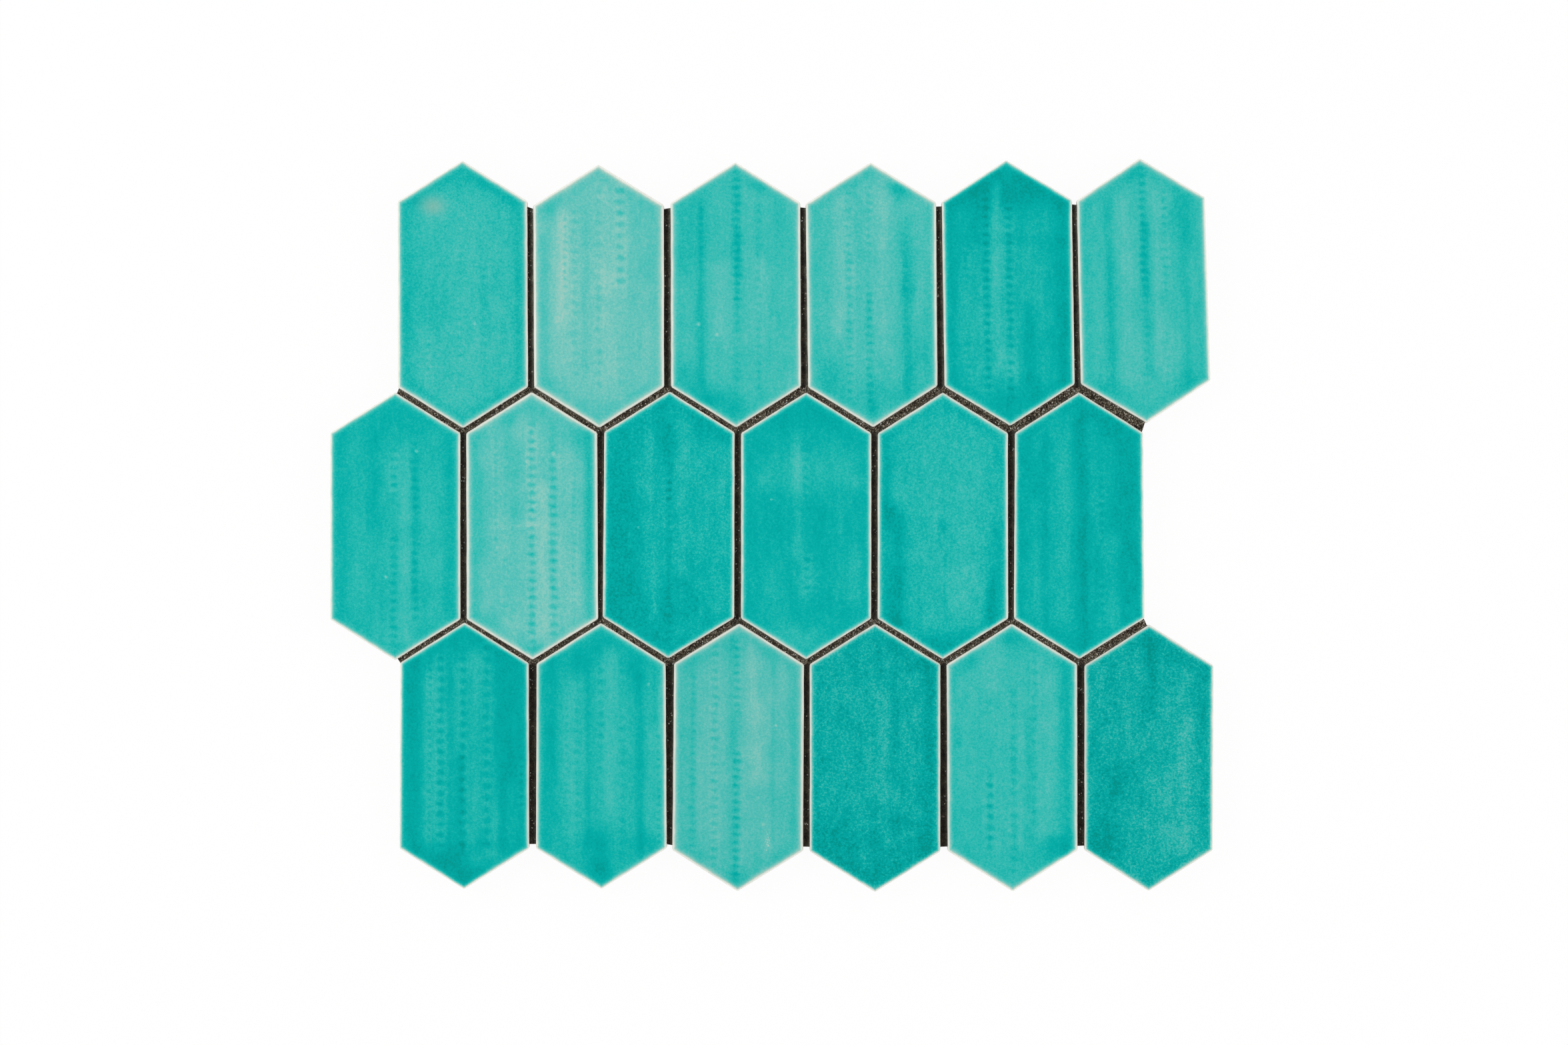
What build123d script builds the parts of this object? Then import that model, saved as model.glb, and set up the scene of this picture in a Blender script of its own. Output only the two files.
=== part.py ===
"""A sheet of picket mosaic: eighteen long six-sided glazed tiles in three rows that lock into each
other by their points, with grout in the joints and a net across the back that holds them together.

Lengths are in millimetres and angles in degrees. The sheet lies face up, its back on z = 0 and the
origin under its middle. Its rows run along X and its tiles point along Y.
"""

import os
from math import atan, atan2, cos, degrees, hypot, radians, sin

from build123d import *

os.makedirs("parts", exist_ok=True)

# Tile: a body of pressed clay with a glazed face
tile_width = 48.85
side_length = 69.5
point_rise = 15.3
tile_thickness = 9.0
corner_radius = 1.2
arris_width = 1.2

# Key: the shallow grooves pressed across a tile's back for the adhesive
groove_depth = 0.6
groove_width = 3.0
groove_pitch = 6.5
groove_end_margin = 5.0

# Joints and grout. The grout stands highest against the tiles and is tooled to a trough between them
joint_width = 2.4
grout_recess = 1.3
trough_depth = 0.4
trough_bank = 0.8
trough_bank_top = 0.15
joint_end_setback = 2.0

# Net, as the sheet of space that its woven strands fill
net_thickness = 0.4
net_setback = 3.5

# How each tile came out and was laid by hand, from the left: how much wider and longer it is than the
# rest, how much wider its foot is than its head, its shift to the right, its shift up the sheet, and
# its lean to the left
wider_by = {
    "top": (-0.1, 0.1, -0.1, -0.1, 0.0, -0.4),
    "middle": (0.1, 0.4, 0.3, 0.0, 0.1, -0.2),
    "bottom": (-0.3, -0.1, 0.1, 0.2, 0.0, -0.5),
}
longer_by = {
    "top": (0.3, -1.3, -0.5, -0.6, -0.3, -0.7),
    "middle": (0.4, 0.4, 0.1, 0.2, 0.1, 0.1),
    "bottom": (0.1, -0.2, 0.5, 0.7, 0.4, -0.2),
}
foot_widening = {
    "top": (0.2, -0.2, 0.1, -0.4, 0.0, 0.6),
    "middle": (0.0, 0.2, 0.4, 0.0, 0.1, 0.9),
    "bottom": (0.4, 0.7, 0.2, 0.0, -0.3, -0.3),
}
shift_right = {
    "top": (-0.5, -0.7, -0.6, -0.8, -0.9, -1.5),
    "middle": (-0.2, -0.1, 0.0, 0.2, 0.2, 0.1),
    "bottom": (0.1, 0.2, 0.4, 0.4, 0.6, 0.6),
}
shift_up = {
    "top": (0.0, -0.7, -0.2, -0.2, 0.5, 1.4),
    "middle": (-0.1, 0.0, 0.4, 0.0, 0.0, 0.1),
    "bottom": (0.7, 0.6, 0.1, -0.1, 0.0, -0.1),
}
lean_left = {
    "top": (0.2, 0.2, 0.2, 0.6, 0.9, 1.5),
    "middle": (0.0, 0.2, -0.3, 0.0, 0.0, 0.1),
    "bottom": (-0.1, 0.1, -0.4, 0.0, 0.2, -0.1),
}

# The pattern's pitches: along a row, and from row to row once the points sit in the valleys
rows = ("top", "middle", "bottom")
columns = len(lean_left["top"])
last = columns - 1
tile_pitch = tile_width + joint_width
point_slope = atan2(point_rise, tile_width / 2)
valley_depth = point_rise * tile_pitch / tile_width
row_pitch = side_length + 2 * point_rise - valley_depth + joint_width / cos(point_slope)

tile_top = net_thickness + tile_thickness
bank_top = tile_top - grout_recess
trough_floor = bank_top - trough_depth


def tile_corners(row, column):
    """The six corners of a tile before they are rounded, from its own middle."""
    width = tile_width + wider_by[row][column]
    head = (width - foot_widening[row][column] / 2) / 2
    foot = (width + foot_widening[row][column] / 2) / 2
    shoulder = (side_length + longer_by[row][column]) / 2
    return {
        "head_point": (0, shoulder + point_rise),
        "head_right": (head, shoulder),
        "foot_right": (foot, -shoulder),
        "foot_point": (0, -shoulder - point_rise),
        "foot_left": (-foot, -shoulder),
        "head_left": (-head, shoulder),
    }


def laid_plane(row, column):
    """Where a tile was laid. The middle row starts half a pitch further left than the others."""
    row_start = -tile_pitch / 2 if row == "middle" else 0
    x = row_start + column * tile_pitch + shift_right[row][column]
    y = -rows.index(row) * row_pitch + shift_up[row][column]
    lean = radians(lean_left[row][column])
    return Plane(origin=(x, y, 0), x_dir=(cos(lean), sin(lean), 0), z_dir=(0, 0, 1))


laid_corners = [
    laid_plane(row, column).from_local_coords((x, y, 0))
    for row in rows
    for column in range(columns)
    for x, y in tile_corners(row, column).values()
]
sheet_middle = Vector(
    (min(p.X for p in laid_corners) + max(p.X for p in laid_corners)) / 2,
    (min(p.Y for p in laid_corners) + max(p.Y for p in laid_corners)) / 2,
)


def tile_plane(row, column, height):
    """The plane that a tile's outline is drawn on, at a height above the sheet's back."""
    laid = laid_plane(row, column)
    origin = laid.origin - sheet_middle + Vector(0, 0, height)
    return Plane(origin=origin, x_dir=laid.x_dir, z_dir=laid.z_dir)


def tile_outline(row, column, height, margin=0):
    """A tile seen from above, with its corners rounded, and grown by a margin if one is given."""
    with BuildSketch(tile_plane(row, column, height)) as outline:
        with BuildLine():
            Polyline(*tile_corners(row, column).values(), close=True)
        make_face()
        fillet(outline.vertices(), corner_radius)
        if margin:
            offset(amount=margin)
    return outline.sketch


def point_inside(row, column, corner, setback):
    """The point in the sheet that lies a setback in from a tile's corner, towards its middle."""
    x, y = tile_corners(row, column)[corner]
    share = 1 - setback / hypot(x, y)
    return tile_plane(row, column, net_thickness).from_local_coords((x * share, y * share, 0))


# Tiles: pressed with a keyed back, and eased at the glazed edge of the face
groove_count = int((side_length - groove_width) // groove_pitch) + 1
for row in rows:
    for column in range(columns):
        name = f"tile_{row}_{column + 1}"
        with BuildPart() as tile:
            extrude(tile_outline(row, column, net_thickness), amount=tile_thickness)
            chamfer(tile.faces().sort_by(Axis.Z)[-1].edges(), arris_width)
            with BuildSketch(tile_plane(row, column, net_thickness)):
                with GridLocations(0, groove_pitch, 1, groove_count):
                    Rectangle(tile_width - 2 * groove_end_margin, groove_width)
            extrude(amount=groove_depth, mode=Mode.SUBTRACT)
        tile.part.label = name
        export_step(tile.part, f"parts/{name}.step")

# Grout border: it crosses each open joint end a little way in from the corners of the two tiles
# there, and runs inside the tiles elsewhere, where their own outlines are cut away
border_corners = []
for column in range(columns):
    border_corners += [("top", column, "head_left"), ("top", column, "head_right")]
border_corners += [
    ("top", last, "foot_point"),
    ("middle", last, "head_right"),
    ("middle", last, "foot_right"),
    ("bottom", last, "head_point"),
]
for column in reversed(range(columns)):
    border_corners += [("bottom", column, "foot_right"), ("bottom", column, "foot_left")]
border_corners += [
    ("bottom", 0, "head_left"),
    ("middle", 0, "foot_point"),
    ("middle", 0, "head_point"),
    ("top", 0, "foot_left"),
]

# Grout: a slab up to the floor of the trough, with a sloping bank round every tile, cut back to the
# border and then by each tile's own outline, so that it fits all eighteen
with BuildPart() as grout:
    with BuildSketch(Plane.XY.offset(net_thickness)) as border:
        with BuildLine():
            Polyline(*[point_inside(*corner, joint_end_setback) for corner in border_corners], close=True)
        make_face()
    extrude(amount=trough_floor - net_thickness)
    bank_slope = degrees(atan((trough_bank - trough_bank_top) / trough_depth))
    for row in rows:
        for column in range(columns):
            bank = tile_outline(row, column, trough_floor, trough_bank)
            extrude(bank, amount=trough_depth, taper=bank_slope)
    extrude(border.sketch, amount=bank_top - net_thickness, mode=Mode.INTERSECT)
    for row in rows:
        for column in range(columns):
            cell = tile_outline(row, column, net_thickness)
            extrude(cell, amount=tile_thickness, mode=Mode.SUBTRACT)
grout.part.label = "grout"
export_step(grout.part, "parts/grout.step")

# Net border: it follows the points and valleys of the sheet's edge, inside the outer tiles
net_corners = []
for column in range(columns):
    for corner in ("head_left", "head_point", "head_right"):
        net_corners.append(("top", column, corner))
net_corners += [
    ("top", last, "foot_right"),
    ("top", last, "foot_point"),
    ("middle", last, "head_right"),
    ("middle", last, "foot_right"),
    ("bottom", last, "head_point"),
    ("bottom", last, "head_right"),
]
for column in reversed(range(columns)):
    for corner in ("foot_right", "foot_point", "foot_left"):
        net_corners.append(("bottom", column, corner))
net_corners += [
    ("bottom", 0, "head_left"),
    ("middle", 0, "foot_point"),
    ("middle", 0, "foot_left"),
    ("middle", 0, "head_left"),
    ("middle", 0, "head_point"),
    ("top", 0, "foot_left"),
]

with BuildPart() as net:
    with BuildSketch(Plane.XY):
        with BuildLine():
            Polyline(*[point_inside(*corner, net_setback) for corner in net_corners], close=True)
        make_face()
    extrude(amount=net_thickness)
net.part.label = "backing_net"
export_step(net.part, "parts/backing_net.step")
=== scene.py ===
"""A sheet of picket mosaic, dressed: glazed tiles, tooled grout and the woven net behind them.

Plain lengths are in millimetres, and every finished mesh is turned to metres. A tile's own places are
written (u, v) from its middle: u to the right and v towards its head.
"""

from math import cos, hypot, radians, sin

import bmesh
import bpy
import numpy as np
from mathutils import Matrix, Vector, noise


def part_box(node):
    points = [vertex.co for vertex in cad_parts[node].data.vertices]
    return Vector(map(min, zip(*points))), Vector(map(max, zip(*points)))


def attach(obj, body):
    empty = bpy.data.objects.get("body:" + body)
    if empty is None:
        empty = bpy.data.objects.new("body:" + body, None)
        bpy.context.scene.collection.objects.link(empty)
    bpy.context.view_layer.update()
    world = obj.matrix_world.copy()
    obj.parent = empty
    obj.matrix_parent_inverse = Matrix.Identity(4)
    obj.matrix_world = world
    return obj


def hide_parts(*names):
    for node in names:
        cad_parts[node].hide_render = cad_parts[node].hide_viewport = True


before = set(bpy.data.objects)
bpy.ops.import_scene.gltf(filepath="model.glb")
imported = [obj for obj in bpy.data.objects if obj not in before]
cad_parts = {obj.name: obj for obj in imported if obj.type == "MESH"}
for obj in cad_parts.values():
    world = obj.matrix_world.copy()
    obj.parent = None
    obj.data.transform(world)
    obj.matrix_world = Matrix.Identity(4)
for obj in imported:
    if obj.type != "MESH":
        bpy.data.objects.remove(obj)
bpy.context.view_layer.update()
metres = 0.001

# Tile
tile_width = 48.85
side_length = 69.5
point_rise = 15.3
tile_thickness = 9.0
corner_cut = 0.7
arris_width = 1.2
groove_depth = 0.6
groove_width = 3.0
groove_slope = 0.4
groove_pitch = 6.5
groove_half_length = 19.4
shoulder = side_length / 2
rows = ("top", "middle", "bottom")
tiles_in_row = 6

# How each tile came out and was laid, from the left: how much wider and longer it is than the rest,
# how much wider its foot is than its head, and its lean to the left in degrees
wider_by = {
    "top": (-0.1, 0.1, -0.1, -0.1, 0.0, -0.4),
    "middle": (0.1, 0.4, 0.3, 0.0, 0.1, -0.2),
    "bottom": (-0.3, -0.1, 0.1, 0.2, 0.0, -0.5),
}
longer_by = {
    "top": (0.3, -1.3, -0.5, -0.6, -0.3, -0.7),
    "middle": (0.4, 0.4, 0.1, 0.2, 0.1, 0.1),
    "bottom": (0.1, -0.2, 0.5, 0.7, 0.4, -0.2),
}
foot_widening = {
    "top": (0.2, -0.2, 0.1, -0.4, 0.0, 0.6),
    "middle": (0.0, 0.2, 0.4, 0.0, 0.1, 0.9),
    "bottom": (0.4, 0.7, 0.2, 0.0, -0.3, -0.3),
}
lean_left = {
    "top": (0.2, 0.2, 0.2, 0.6, 0.9, 1.5),
    "middle": (0.0, 0.2, -0.3, 0.0, 0.0, 0.1),
    "bottom": (-0.1, 0.1, -0.4, 0.0, 0.2, -0.1),
}

# Mesh of a tile: the height where its walls are cut across, the height above which it is cut finely,
# how finely, and how many such cuts lie on each side of its middle, across it and up it
wall_line = 3.5
fine_from = 6.4
grid_step = 0.7
grid_lines = (34, 70)

# Pressed clay: the heights between which it turns uneven, how far the face drops at its edge and how
# near the edge that is, how deep its waves are, how far its sides and its points wander and how far in
# that is felt, and how much wider the tile is below the grout
uneven_between = (5.0, 8.6)
cushion_drop = 0.13
cushion_width = 2.4
wave_depth = 0.07
side_wander = 0.10
point_wander = 0.07
wander_reach = 2.0
hidden_swell = 0.0018

# Grout, with how high and how far across its grit and its lumps are, and the cells that it is made from
bank_top = 8.1
trough_depth = 0.4
trough_bank = 0.8
trough_curve = 1.5
grit_height = 0.11
grit_size = 0.7
lump_height = 0.10
lump_size = 2.6
grout_cell = 2.4

# Painted light along the right side of a joint, a pale band where light from the left would fall on the
# joint's right wall: how far it reaches, how fast it fades, and how strong it is in each row's upright
# joints and in the slanted ones
painted_light_width = 1.5
painted_light_fade = 1.7
painted_light_in_rows = (0.75, 0.4, 0.25)
painted_light_in_slants = 0.4

# Net: its strands, how far each one goes over and under, half the flat stretch where it crosses another,
# and how far the strands stray
net_thickness = 0.4
net_pitch = 5.0
strand_width = 1.1
strand_thickness = 0.17
strand_lift = 0.1
crossing_half = 0.75
net_stray = 0.7

# Dashes: columns further out than this have their own pitch. In the others the pitch grows a little
# with each millimetre from the tile's middle, and where it is wide it grows to the right only. The
# dashes are counted from a height near the head, and they fall a little to the right
outer_column = 12
outer_pitch = 2.85
one_way_pitch = 3.9
pitch_spread = 0.006
first_dash = 30
dash_slope = 0.06

# Glaze elsewhere: how strong the line is where it gathers, how far inside the outline and how wide that
# line is, how strong a peach tint is, and how far the nearest column and speck count where none is near
border_strength = 0.6
border_inset = 3.0
border_width = 2.2
peach_strength = 0.25
off_column = 9.0
off_speck = 4.0

# Glaze on each tile. Tones are how deep the glaze lies where it is deepest, on the body of the tile and
# where it is thinnest. Grain is how strong its fine grain is. Shade is painted shade, which dims a tile's
# colour: 1 where it isn't given, and below 1 only in the bottom row, darkest towards the right, where the
# light fell off. Pitch is the step from dash to dash, and border is how much glaze gathered inside the
# outline. Bands run up the tile: u, half width, from v, to v, strength. Patches are soft ovals: u, v, half
# width, half height, strength. A strength above 0 is deeper glaze, and 1 is the deepest tone.
# Columns are rows of short dark dashes: u, half width, from v, to v, strength. Specks are places where
# the glaze crawled off the clay: u, v, radius. Peach is a soft oval with a warm tint: u, v, half width,
# half height. Scuff is one where the glaze was rubbed, with its strength last
glazes = {
    ("top", 0): dict(
        tones=(0.72, 0.60, 0.53), grain=1.1, pitch=3.4, border=1.2,
        bands=[(-19, 4, -36, 36, 0.35), (19, 4, -36, 36, 0.15), (3, 5, -30, 38, -0.3),
               (8, 2, -12, 11, 0.6)],
        patches=[(-12, -2, 8, 13, 0.5), (-10, 33, 5, 3.5, -0.2), (5, 42, 14, 6, 0.7),
                 (-16, 34, 5, 4, 0.5), (15, 36, 5, 4, 0.4), (-16, -22, 5, 12, -0.3), (12, 4, 6, 5, 0.3)],
        columns=[(-1, 1.6, 10, 17, 0.5), (-1, 1.6, -33, -6, 0.55), (-13, 1.1, -33, -16, 0.6),
                 (8, 1.6, 2, 11, 0.5), (8, 1.6, -24, -15, 0.8), (-9, 1.2, -30, -15, 0.3)],
        specks=[(-13, -8, 0.4), (4.5, -11, 0.7)], peach=(-11, 33, 4, 3),
    ),
    ("top", 1): dict(
        tones=(0.54, 0.41, 0.30), grain=0.9, pitch=4.1, border=0.6,
        bands=[(-20, 3, -34, 34, 0.5), (20.5, 2.5, -34, 34, 0.1), (16, 5, -34, 36, 0.2),
               (-14, 3.2, -12, 34, -1.3), (-5, 1.2, -30, 36, 0.25), (4, 3, -38, 10, -0.5),
               (-14, 3, -34, -12, -0.4), (17, 4, 5, 34, 0.25), (19, 4, -34, -14, -0.3)],
        patches=[(5, -39, 3, 4, -0.4), (-21, 28, 2, 6, -0.8), (0, -43, 9, 5, 0.7), (14, -36, 8, 4, 0.4),
                 (3, 10, 5, 8, -0.5), (-17, 33, 3.5, 4, 1.2), (10, 36, 3, 5, 0.6), (-8, 28, 7, 10, 0.35),
                 (-17, -34, 4, 4, 0.8)],
        columns=[(8, 1.9, 3, 43, 1.25), (8, 1.7, -36, 3, 0.25), (0, 1.7, -36, 41, 0.6),
                 (-9, 1.7, -34, 34, 0.55), (-12.6, 1.0, 0, 31, 0.8)],
    ),
    ("top", 2): dict(
        tones=(0.755, 0.575, 0.46), grain=0.9, pitch=3.0, border=0.2,
        bands=[(-13, 1.8, -35, 36, 0.8), (0.5, 2.2, -5, 47, 0.7), (1.3, 1.6, 6, 24, 0.6),
               (0.5, 2, -40, -5, 0.3), (8.5, 1.5, -38, 38, 0.3), (16, 1.6, -34, 36, 0.1),
               (-6, 3.5, -16, 12, -0.9), (9, 4, -16, 13, -0.55), (5, 2.5, 10, 40, -0.3),
               (20.5, 2.5, -34, 34, -0.3), (-18, 4, 8, 36, 0.35), (19, 4, 8, 34, 0.25)],
        patches=[(-18, -30, 5, 6, 0.5), (-8, -40, 7, 3.5, 0.9), (5, -5, 3, 4, -0.4),
                 (-4, -25, 3, 7, -0.4), (17, -33, 6, 4, -0.3), (0, -44, 4, 4, 0.5),
                 (-14, 25, 8, 14, 0.25), (8.5, 41, 3, 2.5, 0.8), (-14, -37, 8, 5, 0.5),
                 (0, -44, 7, 5, 0.4), (10, 8, 4, 4, -0.2), (5, -18, 18, 4, -0.35)],
        columns=[(0.5, 1.9, -4, 46, 0.8), (0.5, 1.6, -38, -4, 0.3), (-13, 1.3, 10, 35, 0.45),
                 (8.5, 1.5, -38, 38, 0.4)],
        specks=[(-14, -11, 0.8), (-7, -15, 0.8)],
    ),
    ("top", 3): dict(
        tones=(0.72, 0.535, 0.40), grain=1.0, pitch=3.1, border=0.3,
        bands=[(-12, 2.5, -16, 38, -0.8), (4.5, 3, 18, 45, -0.9), (4.5, 3, -22, 18, -0.5),
               (13.3, 2.6, -39, 30, 0.9), (-17, 2, -38, 21, 0.15), (-1, 1.6, -43, 2, 0.4)],
        patches=[(18, -25, 5, 9, 0.6), (0, -38, 16, 6, 0.7), (-14, -30, 5, 6, 0.5), (-7, 6, 3, 5, -0.5),
                 (18, 34, 5, 4, -0.3), (-10, -13, 2, 5, 0.5), (14, 26, 3, 5, -0.6), (10, 40, 5, 3, 1.0),
                 (0, -43, 2, 3, 0.9), (-18, -28, 5, 8, 0.3), (1, 41, 2.5, 4, -0.5), (12, 2, 2, 8, 0.3),
                 (21, -8, 2, 10, 0.3)],
        columns=[(-8.5, 1.6, -40, 40, 0.8), (-1, 1.5, 16, 41, 0.8), (-1, 1.8, -43, 3, 0.75),
                 (12.5, 1.4, -30, 25, 0.2)],
    ),
    ("top", 4): dict(
        tones=(0.94, 0.725, 0.60), grain=1.0, pitch=3.2, border=0.5,
        bands=[(-20, 3.2, -36, 36, 0.2), (20, 3.5, -36, 36, 0.5), (-4, 2, -30, 42, -0.9),
               (7.5, 2.8, -34, -4, 0.6), (-8, 1.8, -38, 38, 0.35), (0.5, 1.8, -38, 34, 0.3),
               (16, 3, -30, 20, 0.2)],
        patches=[(0, 38, 20, 8, 1.0), (-13, 27, 6, 9, 0.7), (0, 20, 18, 2.5, 0.3), (0, -24, 3, 3, -0.7),
                 (1, -29, 3, 2.5, -0.7), (-4, 10, 2.5, 11, -0.5), (9, -36, 4, 5, 0.8),
                 (0, -40, 6, 5, 0.6), (-15, 30, 4, 5, -0.4), (-15, -10, 4, 14, -0.3)],
        columns=[(-8, 1.7, -38, 38, 1.0), (0.5, 1.7, -38, 34, 1.0), (-15.5, 1.3, 4, 19, 0.5),
                 (-15.5, 1.3, -35, -13, 0.5), (9, 1.2, -18, 33, 0.2), (13.5, 1.2, -18, 33, 0.2)],
    ),
    ("top", 5): dict(
        tones=(0.75, 0.59, 0.47), grain=0.9, pitch=3.0, border=0.4,
        bands=[(-12.5, 2, -36, 37, 0.8), (0.5, 2, -2, 46, 0.6), (1.5, 2.2, -32, 26, 0.7),
               (16.5, 2.6, 16, 35, 0.9), (13.5, 2.5, 17, 40, 0.4), (16, 2, -34, 16, 0.6),
               (-6.5, 3, -36, 36, -0.6), (5.5, 2.0, -31, 38, -0.6)],
        patches=[(-5, 8, 3, 6, -0.3), (-4, -33, 3, 4, -0.5), (-14, -38, 9, 5, 0.5), (16, -36, 6, 4, 0.5),
                 (-2, 44, 3, 3, 0.8), (11, -20, 3, 8, -0.5), (-2.5, -24, 2.5, 8, -0.4),
                 (3, -25, 6, 9, -0.35), (-11, 23, 5, 5, -0.3), (15, -20, 2, 9, -0.4)],
        columns=[(0.5, 1.8, 0, 47, 0.75), (0.5, 1.6, -38, 0, 0.35), (8.5, 1.4, 0, 38, 0.65),
                 (8.5, 1.4, -36, -13, 0.5)],
        specks=[(3, 8, 0.4)],
    ),
    ("middle", 0): dict(
        tones=(0.80, 0.69, 0.54), grain=0.9, pitch=3.3, border=0.2,
        bands=[(-20, 3, -36, 36, 0.45), (20.5, 2.4, -36, 36, 0.6), (-8, 2.8, -2, 36, 0.8),
               (4, 2.6, -43, 31, -0.6), (7.5, 1.8, -30, 30, 0.8), (-0.5, 1.6, -46, -2, 0.4),
               (12, 3, -35, 20, -0.3)],
        patches=[(0, 39, 16, 8, 0.9), (-14, -20, 4, 10, -0.3), (16, -20, 5, 14, -0.35),
                 (-11, -1, 3, 4, -0.3), (11, -25, 3, 5, 0.7), (2, -12, 4, 5, -0.6), (-20, 8, 4, 18, 0.4),
                 (5, -42, 4, 4, -0.6), (-5, -40, 4, 4, -0.4), (10, 3, 8, 2, -0.4)],
        columns=[(-0.5, 1.6, 12, 29, 1.2), (-0.5, 1.8, -46, -3, 0.65), (7.5, 2.2, 5, 31, 0.55),
                 (7.5, 1.6, -36, -4, 0.65), (-13, 1.2, -31, 33, 0.3)],
        specks=[(8, 28, 0.8), (-0.5, 22, 0.5), (2.5, 12, 0.4), (-13.5, -8, 0.4), (-3.5, -19, 0.7)],
    ),
    ("middle", 1): dict(
        tones=(0.65, 0.465, 0.33), grain=0.95, pitch=3.25, border=0.2,
        bands=[(-21, 2.4, -36, 36, 0.5), (21, 2.4, -36, 36, 0.5), (-6, 2.2, -4, 33, 0.35),
               (4, 2.2, -43, 16, -0.9), (-17, 2, -36, 25, -0.2), (12, 2.5, -38, 30, -0.3),
               (-4, 2, -40, -4, -0.3), (7.5, 1.6, -38, 40, 0.4), (-18, 2.5, -12, 22, 0.5),
               (-9, 1.6, 18, 34, 0.4), (0, 1.4, -40, -5, 0.3)],
        patches=[(7, 5, 6, 8, 0.2), (0, 44, 8, 4, 0.3), (17, 32, 6, 6, 0.7), (-4, 0, 8, 1.5, -0.4),
                 (16, -22, 5, 12, -0.5), (-14, -36, 8, 5, 0.5), (0, -46, 4, 3, 0.9), (-9, 39, 3, 3, 0.8),
                 (-5, 34, 3, 5, -0.6), (-9, -36, 4, 4, -0.7), (13, 26, 3, 8, -0.4),
                 (21.5, 2, 1.6, 30, 0.8), (0, 0, 14, 3, -0.3), (-11, -10, 3, 5, -0.4)],
        columns=[(0, 1.6, -5, 38, 1.5), (0, 1.8, -46, -5, 1.25), (8, 1.9, -42, 28, 1.2),
                 (-13.5, 1.0, -10, 33, 0.5), (-10, 1.0, -10, 33, 0.3), (15.5, 1.2, -30, 20, 0.5),
                 (-10, 1.3, -36, -10, 0.5)],
        specks=[(8, 27, 0.9), (-2, 24, 0.6), (-11.5, 12, 0.5), (-13, -8, 0.6), (7, -34, 0.6)],
    ),
    ("middle", 2): dict(
        tones=(0.92, 0.80, 0.66), grain=1.4, pitch=3.1, border=0.3,
        bands=[(-19, 6, -38, 36, 0.5), (-8, 2.8, 9, 36, -0.8), (-5.5, 1.6, -35, 6, -0.7),
               (4.5, 2.4, -19, 30, -0.7), (12, 6, -10, 31, -0.5), (20.5, 2, -14, 31, -0.7),
               (0, 1.6, -46, 26, 0.5), (-15, 3, -28, 16, 0.5), (-8.5, 1.6, -30, 5, -0.3)],
        patches=[(0, -34, 20, 12, 0.5), (-1, 34, 4, 12, 1.0), (14, 36, 8, 5, 0.6), (5, 35, 4, 6, -0.9),
                 (-2, 2, 2, 18, -0.5), (19, -25, 5, 12, -0.7), (9, -38, 7, 4, -0.5),
                 (17, 13, 4, 8, -0.3)],
        columns=[(0, 1.5, 8, 19, 1.4), (0, 1.5, -45, 8, 0.4)],
        specks=[(-11.5, -1, 0.6)],
    ),
    ("middle", 3): dict(
        tones=(0.865, 0.79, 0.61), grain=1.0, pitch=3.4, border=0.2,
        bands=[(-3.5, 2, -13, 39, -0.6), (12.5, 2, -26, 12, -0.4), (19, 3.2, -29, -7, -0.5),
               (-21, 2, -36, 36, 0.2)],
        patches=[(0, 20, 20, 8, -0.6), (10, 24, 6, 6, -0.4), (-17, 17, 5, 4, -0.5), (18, 17, 5, 4, -0.4),
                 (-4, 24, 3.5, 6, -0.15), (-12, -25, 4, 12, -0.45), (2, -18, 4.5, 7, -0.5),
                 (-1, -24, 2.5, 4, -0.4), (0, -43, 10, 5, -0.8), (0, 41, 14, 6, 0.8),
                 (-12, 5, 8, 10, 0.4), (7, -6, 5, 18, 0.5), (17, -20, 3, 6, -0.3), (-9, -40, 6, 4, -0.4),
                 (0, -20, 4, 8, -0.2)],
        columns=[(-0.5, 1.5, 11, 29, 0.6), (0.5, 1.4, -26, -9, 0.85)],
        specks=[(-13, 10, 0.6)],
    ),
    ("middle", 4): dict(
        tones=(0.91, 0.68, 0.61), grain=1.3, pitch=3.3, border=0.5,
        bands=[(-19, 4.2, -40, 9, 0.6), (-17, 3.5, -38, 6, 0.7), (19, 4, -40, 2, 0.3),
               (7.5, 5.5, -36, -14, -0.8), (10, 6, -30, 25, -0.5), (1, 0.7, -36, -9, 0.5),
               (-20.5, 2.4, 0, 36, 0.3)],
        patches=[(0, 44, 16, 5, 0.1), (0, 0, 1.8, 2.8, 0.8), (0, 12, 13, 18, -0.1), (0, -44, 9, 5, 0.7),
                 (18, -27, 2.5, 11, 0.8), (-19, -12, 2.5, 15, -0.6), (-12, 25, 6, 10, 0.2)],
    ),
    ("middle", 5): dict(
        tones=(0.92, 0.80, 0.68), grain=1.1, pitch=3.2, border=0.3,
        bands=[(0.5, 2.4, -46, 41, 0.8), (2.5, 2, -45, 28, 0.5), (17, 5, -36, 36, 0.7),
               (-13, 1.2, -36, 36, 0.5), (-17, 3, -10, 36, 0.3), (-7, 3.4, -39, 43, -0.7),
               (-4.5, 1.6, -36, 36, -0.4), (-16.5, 1.8, -33, 11, -0.6), (12.5, 2.6, -38, -4, -0.7),
               (6.5, 1.5, -34, -8, 0.5), (5, 2, -36, 30, -0.15)],
        patches=[(4, 32, 3, 5, -0.3), (6, 39, 12, 7, 0.9), (14, -33, 3, 6, -0.7), (-15, -25, 4, 12, -0.4),
                 (3, 37, 5, 4, -0.7), (3, 10, 6, 5, -0.6), (-17, 32, 4, 4, -0.4), (12, -8, 4, 7, -0.3)],
        columns=[(8.5, 1.3, -7, 29, 0.6), (8.5, 1.3, -38, -17, 0.6)],
    ),
    ("bottom", 0): dict(
        tones=(0.93, 0.79, 0.62), grain=0.9, painted_shade=0.985, pitch=4.1, border=0.3,
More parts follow.
